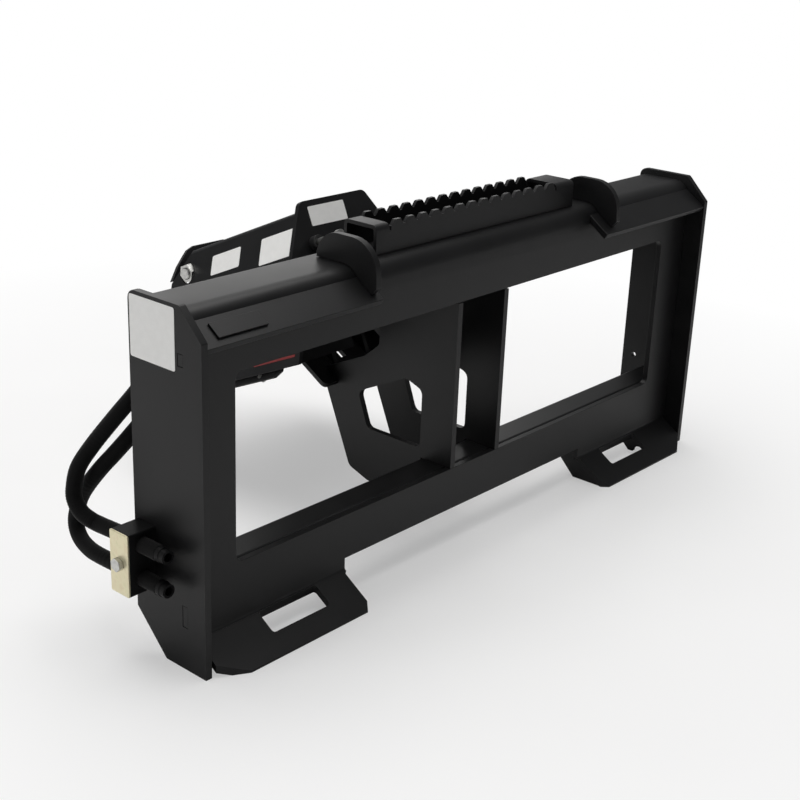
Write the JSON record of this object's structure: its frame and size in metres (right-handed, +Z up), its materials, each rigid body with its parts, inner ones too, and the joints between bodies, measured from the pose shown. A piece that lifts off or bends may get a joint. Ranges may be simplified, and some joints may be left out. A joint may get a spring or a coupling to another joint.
{
  "type": "earth auger drive on quick attach frame",
  "caption": "Planetary earth auger drive stowed in a sloping hood on a quick attach plate frame, with serrated step, lifting hooks, hose clamp and swing-out drive.",
  "frame": {"origin": "middle of the bounding box at floor level", "axes": "+Z up, +Y from the coupler face towards the hood, +X to the right seen from the machine (rear)"},
  "size_m": [1.2118, 0.6842, 0.528],
  "materials": {
    "black_coat": "satin black powder coat",
    "bare_steel": "bright zinc or machined",
    "cast_iron": "painted black casting",
    "rubber": "woven sleeve over rubber hose",
    "zinc_plate": "yellow zinc plate",
    "black_plastic": "moulded, ribbed",
    "bare_tag": "painted over"
  },
  "bodies": {
    "frame": {"beam_bottom_plate": "black_coat", "bottom_rail": "black_coat", "clamp_block": "black_plastic", "clamp_bolt": "bare_steel", "clamp_cover_plate": "zinc_plate", "edge_bar_bolt_left": "bare_steel", "edge_bar_bolt_right": "bare_steel", "end_plate_left": "black_coat", "end_plate_right": "black_coat", "flange_gusset_left_inner": "black_coat", "flange_gusset_left_outer": "black_coat", "flange_gusset_right_inner": "black_coat", "flange_gusset_right_outer": "black_coat", "formed_face_plate": "black_coat", "hood_bulkhead": "black_coat", "hood_edge_bar_left": "black_coat", "hood_edge_bar_right": "black_coat", "hood_front_cap": "black_coat", "hood_shell": "black_coat", "hook_plate_left": "black_coat", "hook_plate_right": "black_coat", "hose_ferrule_lower": "rubber", "hose_ferrule_upper": "rubber", "hose_junction_block": "cast_iron", "hose_lower": "rubber", "hose_upper": "rubber", "lip_plate_left": "black_coat", "lip_plate_right": "black_coat", "lip_tag": "bare_tag", "lock_pin_guide": "cast_iron", "pivot_bolt": "bare_steel", "pivot_boss_left": "cast_iron", "pivot_boss_right": "cast_iron", "pivot_nut": "bare_steel", "serrated_step": "black_coat", "web_ear_left": "black_coat", "web_ear_right": "black_coat", "web_plate_left": "black_coat", "web_plate_right": "black_coat"},
    "drive": {"swing_cradle": "black_coat", "motor_body": "cast_iron", "motor_end_cap": "cast_iron", "port_fitting_1": "bare_steel", "port_fitting_2": "bare_steel", "motor_bolt_1": "bare_steel", "motor_bolt_2": "bare_steel", "gearbox_housing": "cast_iron", "gearbox_nose": "cast_iron", "shaft_bearing_1": "bare_steel", "shaft_bearing_2": "bare_steel", "shaft_seal": "rubber"},
    "output": {"output_shaft": "bare_steel", "planet_carrier": "bare_steel", "bit_pin": "bare_steel"},
    "sun": {"sun_gear": "bare_steel", "sun_shaft": "bare_steel"},
    "planet_1": {"planet_gear_1": "bare_steel"},
    "planet_2": {"planet_gear_2": "bare_steel"},
    "planet_3": {"planet_gear_3": "bare_steel"},
    "lock": {"lock_pin": "bare_steel"}
  },
  "joints": [
    {"name": "drive_swing", "type": "hinge", "parent": "frame", "child": "drive", "pos_m": [0.0259, 0.27551, 0.32276], "axis": [1, 0, 0], "range_deg": [0, 114.2]},
    {"name": "output_spin", "type": "hinge", "parent": "drive", "child": "output", "pos_m": [0.0259, -0.01633, 0.36621], "axis": [0, 0.9121, -0.4099], "continuous": true},
    {"name": "sun_spin", "type": "hinge", "parent": "drive", "child": "sun", "pos_m": [0.0259, 0.07808, 0.32378], "axis": [0, 0.9121, -0.4099], "continuous": true},
    {"name": "planet_spin_1", "type": "hinge", "parent": "output", "child": "planet_1", "pos_m": [0.0259, 0.09345, 0.35798], "axis": [0, 0.9121, -0.4099], "continuous": true},
    {"name": "planet_spin_2", "type": "hinge", "parent": "output", "child": "planet_2", "pos_m": [-0.00658, 0.07039, 0.30668], "axis": [0, 0.9121, -0.4099], "continuous": true},
    {"name": "planet_spin_3", "type": "hinge", "parent": "output", "child": "planet_3", "pos_m": [0.05838, 0.07039, 0.30668], "axis": [0, 0.9121, -0.4099], "continuous": true},
    {"name": "lock_slide", "type": "slide", "parent": "frame", "child": "lock", "axis": [0, 0.9121, -0.4099], "range_m": [0, 0.034]}
  ],
  "couplings": [
    {"joint": "sun_spin", "follows": "output_spin", "ratio": 5},
    {"joint": "planet_spin_1", "follows": "output_spin", "ratio": -2.6667},
    {"joint": "planet_spin_2", "follows": "output_spin", "ratio": -2.6667},
    {"joint": "planet_spin_3", "follows": "output_spin", "ratio": -2.6667}
  ]
}
